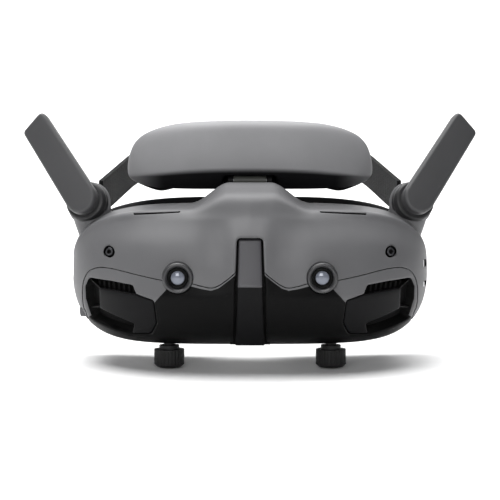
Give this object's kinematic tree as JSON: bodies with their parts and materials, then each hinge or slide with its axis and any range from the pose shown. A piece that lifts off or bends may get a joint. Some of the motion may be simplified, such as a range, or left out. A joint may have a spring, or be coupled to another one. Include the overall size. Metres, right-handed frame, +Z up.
{
  "type": "fpv goggles",
  "caption": "Wraparound video goggles with folding antennas, hinged forehead battery pad, headband, adjustable eyepieces, fan and flank buttons.",
  "frame": {"origin": "midway between the two eyepiece axes, on the plane of the rear lens rims", "axes": "+Z up, +Y back towards the wearer along the eyepiece axes, -X to the wearer's right"},
  "size_m": [0.2518, 0.2671, 0.1339],
  "materials": {
    "shell_grey": "fine-textured moulded plastic, mid grey",
    "shell_dark": "fine-textured moulded plastic, near black",
    "panel_dark": "satin black plastic",
    "antenna_grey": "matt dark grey plastic",
    "steel": "turned steel",
    "optic_glass": "coated glass",
    "knob_rubber": "hard black rubber",
    "foam_black": "black fabric-faced foam",
    "strap_fabric": "woven elastic, black",
    "strap_plastic": "black acetal",
    "board_green": "solder-masked circuit board",
    "metal_bright": "bare aluminium",
    "cell_wrap": "heat-shrunk film",
    "radiator_strip": "plated copper strip",
    "display_glass": "display cover"
  },
  "bodies": {
    "casing": {"antenna_bases": "antenna_grey", "antenna_collars": "panel_dark", "antenna_pins": "steel", "camera_barrels": "panel_dark", "camera_bezels": "shell_dark", "camera_lenses": "optic_glass", "card_socket": "metal_bright", "centre_bar": "panel_dark", "face_foam": "foam_black", "face_frame": "shell_dark", "fan_housing": "panel_dark", "frame_screws": "steel", "front_screws": "steel", "guide_rods": "steel", "headband": "strap_fabric", "heatsink": "metal_bright", "intake_frames": "panel_dark", "intake_grilles": "panel_dark", "intake_panels": "panel_dark", "lower_shell": "shell_dark", "mainboard": "board_green", "pad_bracket": "panel_dark", "pad_pin": "steel", "proximity_window": "optic_glass", "rod_posts": "shell_dark", "strap_buckles": "strap_plastic", "strap_lugs": "strap_plastic", "strap_tails": "strap_fabric", "top_vents": "panel_dark", "touch_panel": "panel_dark", "upper_shell": "shell_grey", "usb_port": "metal_bright"},
    "antenna_left": {"antenna_shell_left": "antenna_grey", "antenna_cover_left": "antenna_grey", "antenna_strip_left": "radiator_strip"},
    "carriage_left": {"optic_tube_left": "panel_dark", "display_left": "display_glass"},
    "eyepiece_left": {"lens_barrel_left": "panel_dark", "lens_left": "optic_glass", "eyepiece_rim_left": "knob_rubber"},
    "knob_left": {"diopter_knob_left": "knob_rubber"},
    "antenna_right": {"antenna_shell_right": "antenna_grey", "antenna_cover_right": "antenna_grey", "antenna_strip_right": "radiator_strip"},
    "carriage_right": {"optic_tube_right": "panel_dark", "display_right": "display_glass"},
    "eyepiece_right": {"lens_barrel_right": "panel_dark", "lens_right": "optic_glass", "eyepiece_rim_right": "knob_rubber"},
    "knob_right": {"diopter_knob_right": "knob_rubber"},
    "forehead_unit": {"pad_shell": "shell_grey", "pad_tray": "shell_grey", "battery_cells": "cell_wrap", "battery_board": "board_green", "pad_cushion": "foam_black"},
    "fan": {"fan_rotor": "panel_dark"},
    "power_key": {"power_button": "strap_plastic"},
    "link_key": {"link_button": "strap_plastic"}
  },
  "joints": [
    {"name": "antenna_fold_left", "type": "hinge", "parent": "casing", "child": "antenna_left", "pos_m": [0.0915, -0.0175, 0.0415], "axis": [0.2397, -0.927, 0.2884], "range_deg": [0, 110]},
    {"name": "ipd_slide_left", "type": "slide", "parent": "casing", "child": "carriage_left", "axis": [1, 0, 0], "range_m": [-0.004, 0.004]},
    {"name": "diopter_turn_left", "type": "hinge", "parent": "carriage_left", "child": "knob_left", "pos_m": [0.0435, -0.035, -0.043], "axis": [0, 0, 1], "range_deg": [-91, 272]},
    {"name": "focus_slide_left", "type": "slide", "parent": "carriage_left", "child": "eyepiece_left", "axis": [0, -1, 0], "range_m": [-0.001, 0.003]},
    {"name": "antenna_fold_right", "type": "hinge", "parent": "casing", "child": "antenna_right", "pos_m": [-0.0915, -0.0175, 0.0415], "axis": [0.2397, 0.927, -0.2884], "range_deg": [0, 110]},
    {"name": "ipd_slide_right", "type": "slide", "parent": "casing", "child": "carriage_right", "axis": [-1, 0, 0], "range_m": [-0.004, 0.004]},
    {"name": "diopter_turn_right", "type": "hinge", "parent": "carriage_right", "child": "knob_right", "pos_m": [-0.0435, -0.035, -0.043], "axis": [0, 0, 1], "range_deg": [-91, 272]},
    {"name": "focus_slide_right", "type": "slide", "parent": "carriage_right", "child": "eyepiece_right", "axis": [0, -1, 0], "range_m": [-0.001, 0.003]},
    {"name": "forehead_tilt", "type": "hinge", "parent": "casing", "child": "forehead_unit", "pos_m": [0, -0.009, 0.0505], "axis": [1, 0, 0], "range_deg": [-12, 10]},
    {"name": "fan_spin", "type": "hinge", "parent": "casing", "child": "fan", "pos_m": [0, -0.0534, 0], "axis": [0, 1, 0], "continuous": true},
    {"name": "power_press", "type": "slide", "parent": "casing", "child": "power_key", "axis": [1, 0, 0], "range_m": [0, 0.0008], "stiffness_N_per_m": 1500, "springref_m": -0.0005},
    {"name": "link_press", "type": "slide", "parent": "casing", "child": "link_key", "axis": [1, 0, 0], "range_m": [0, 0.0008], "stiffness_N_per_m": 1500, "springref_m": -0.0005}
  ],
  "couplings": [
    {"joint": "diopter_turn_left", "follows": "focus_slide_left", "rad_per_m": 1570.8},
    {"joint": "diopter_turn_right", "follows": "focus_slide_right", "rad_per_m": 1570.8}
  ]
}
